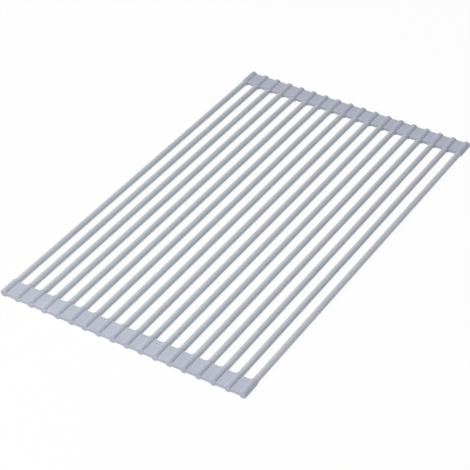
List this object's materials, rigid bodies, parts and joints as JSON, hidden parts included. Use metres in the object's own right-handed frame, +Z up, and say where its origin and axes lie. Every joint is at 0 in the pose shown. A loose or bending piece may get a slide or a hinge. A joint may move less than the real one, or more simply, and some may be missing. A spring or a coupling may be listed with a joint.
{
  "type": "roll-up dish drying rack",
  "caption": "Flat roll-up dish drying rack: silicone-coated steel rods side by side, held at both ends by flexible silicone strips, lies flat over a sink and rolls up.",
  "frame": {"origin": "middle of the rack's footprint, on the surface that it lies on", "axes": "+X across the rods, from rod_01 to rod_18; +Y along the rods, from the near strip to the far strip; +Z up"},
  "size_m": [0.3098, 0.52, 0.0086],
  "materials": {
    "rod_coat": "smooth satin silicone coat on a steel rod, pale blue-grey",
    "end_strip": "matte moulded silicone, pale blue-grey"
  },
  "bodies": {
    "bar_01": {"rod_01": "rod_coat", "near_link_01": "end_strip", "far_link_01": "end_strip"},
    "bar_02": {"rod_02": "rod_coat", "near_link_02": "end_strip", "far_link_02": "end_strip"},
    "bar_03": {"rod_03": "rod_coat", "near_link_03": "end_strip", "far_link_03": "end_strip"},
    "bar_04": {"rod_04": "rod_coat", "near_link_04": "end_strip", "far_link_04": "end_strip"},
    "bar_05": {"rod_05": "rod_coat", "near_link_05": "end_strip", "far_link_05": "end_strip"},
    "bar_06": {"rod_06": "rod_coat", "near_link_06": "end_strip", "far_link_06": "end_strip"},
    "bar_07": {"rod_07": "rod_coat", "near_link_07": "end_strip", "far_link_07": "end_strip"},
    "bar_08": {"rod_08": "rod_coat", "near_link_08": "end_strip", "far_link_08": "end_strip"},
    "bar_09": {"rod_09": "rod_coat", "near_link_09": "end_strip", "far_link_09": "end_strip"},
    "bar_10": {"rod_10": "rod_coat", "near_link_10": "end_strip", "far_link_10": "end_strip"},
    "bar_11": {"rod_11": "rod_coat", "near_link_11": "end_strip", "far_link_11": "end_strip"},
    "bar_12": {"rod_12": "rod_coat", "near_link_12": "end_strip", "far_link_12": "end_strip"},
    "bar_13": {"rod_13": "rod_coat", "near_link_13": "end_strip", "far_link_13": "end_strip"},
    "bar_14": {"rod_14": "rod_coat", "near_link_14": "end_strip", "far_link_14": "end_strip"},
    "bar_15": {"rod_15": "rod_coat", "near_link_15": "end_strip", "far_link_15": "end_strip"},
    "bar_16": {"rod_16": "rod_coat", "near_link_16": "end_strip", "far_link_16": "end_strip"},
    "bar_17": {"rod_17": "rod_coat", "near_link_17": "end_strip", "far_link_17": "end_strip"},
    "bar_18": {"rod_18": "rod_coat", "near_link_18": "end_strip", "far_link_18": "end_strip"}
  },
  "joints": [
    {"name": "bend_01", "type": "hinge", "parent": "bar_02", "child": "bar_01", "pos_m": [-0.1416, 0, 0.0039], "axis": [0, 1, 0], "range_deg": [0, 60]},
    {"name": "bend_02", "type": "hinge", "parent": "bar_03", "child": "bar_02", "pos_m": [-0.1239, 0, 0.0039], "axis": [0, 1, 0], "range_deg": [0, 54]},
    {"name": "bend_03", "type": "hinge", "parent": "bar_04", "child": "bar_03", "pos_m": [-0.1062, 0, 0.0039], "axis": [0, 1, 0], "range_deg": [0, 50]},
    {"name": "bend_04", "type": "hinge", "parent": "bar_05", "child": "bar_04", "pos_m": [-0.0885, 0, 0.0039], "axis": [0, 1, 0], "range_deg": [0, 47]},
    {"name": "bend_05", "type": "hinge", "parent": "bar_06", "child": "bar_05", "pos_m": [-0.0708, 0, 0.0039], "axis": [0, 1, 0], "range_deg": [0, 44]},
    {"name": "bend_06", "type": "hinge", "parent": "bar_07", "child": "bar_06", "pos_m": [-0.0531, 0, 0.0039], "axis": [0, 1, 0], "range_deg": [0, 42]},
    {"name": "bend_07", "type": "hinge", "parent": "bar_08", "child": "bar_07", "pos_m": [-0.0354, 0, 0.0039], "axis": [0, 1, 0], "range_deg": [0, 40]},
    {"name": "bend_08", "type": "hinge", "parent": "bar_09", "child": "bar_08", "pos_m": [-0.0177, 0, 0.0039], "axis": [0, 1, 0], "range_deg": [0, 38]},
    {"name": "bend_09", "type": "hinge", "parent": "bar_10", "child": "bar_09", "pos_m": [0, 0, 0.0039], "axis": [0, 1, 0], "range_deg": [0, 36]},
    {"name": "bend_10", "type": "hinge", "parent": "bar_11", "child": "bar_10", "pos_m": [0.0177, 0, 0.0039], "axis": [0, 1, 0], "range_deg": [0, 35]},
    {"name": "bend_11", "type": "hinge", "parent": "bar_12", "child": "bar_11", "pos_m": [0.0354, 0, 0.0039], "axis": [0, 1, 0], "range_deg": [0, 34]},
    {"name": "bend_12", "type": "hinge", "parent": "bar_13", "child": "bar_12", "pos_m": [0.0531, 0, 0.0039], "axis": [0, 1, 0], "range_deg": [0, 33]},
    {"name": "bend_13", "type": "hinge", "parent": "bar_14", "child": "bar_13", "pos_m": [0.0708, 0, 0.0039], "axis": [0, 1, 0], "range_deg": [0, 32]},
    {"name": "bend_14", "type": "hinge", "parent": "bar_15", "child": "bar_14", "pos_m": [0.0885, 0, 0.0039], "axis": [0, 1, 0], "range_deg": [0, 31]},
    {"name": "bend_15", "type": "hinge", "parent": "bar_16", "child": "bar_15", "pos_m": [0.1062, 0, 0.0039], "axis": [0, 1, 0], "range_deg": [0, 30]},
    {"name": "bend_16", "type": "hinge", "parent": "bar_17", "child": "bar_16", "pos_m": [0.1239, 0, 0.0039], "axis": [0, 1, 0], "range_deg": [0, 29]},
    {"name": "bend_17", "type": "hinge", "parent": "bar_18", "child": "bar_17", "pos_m": [0.1416, 0, 0.0039], "axis": [0, 1, 0], "range_deg": [0, 29]}
  ]
}
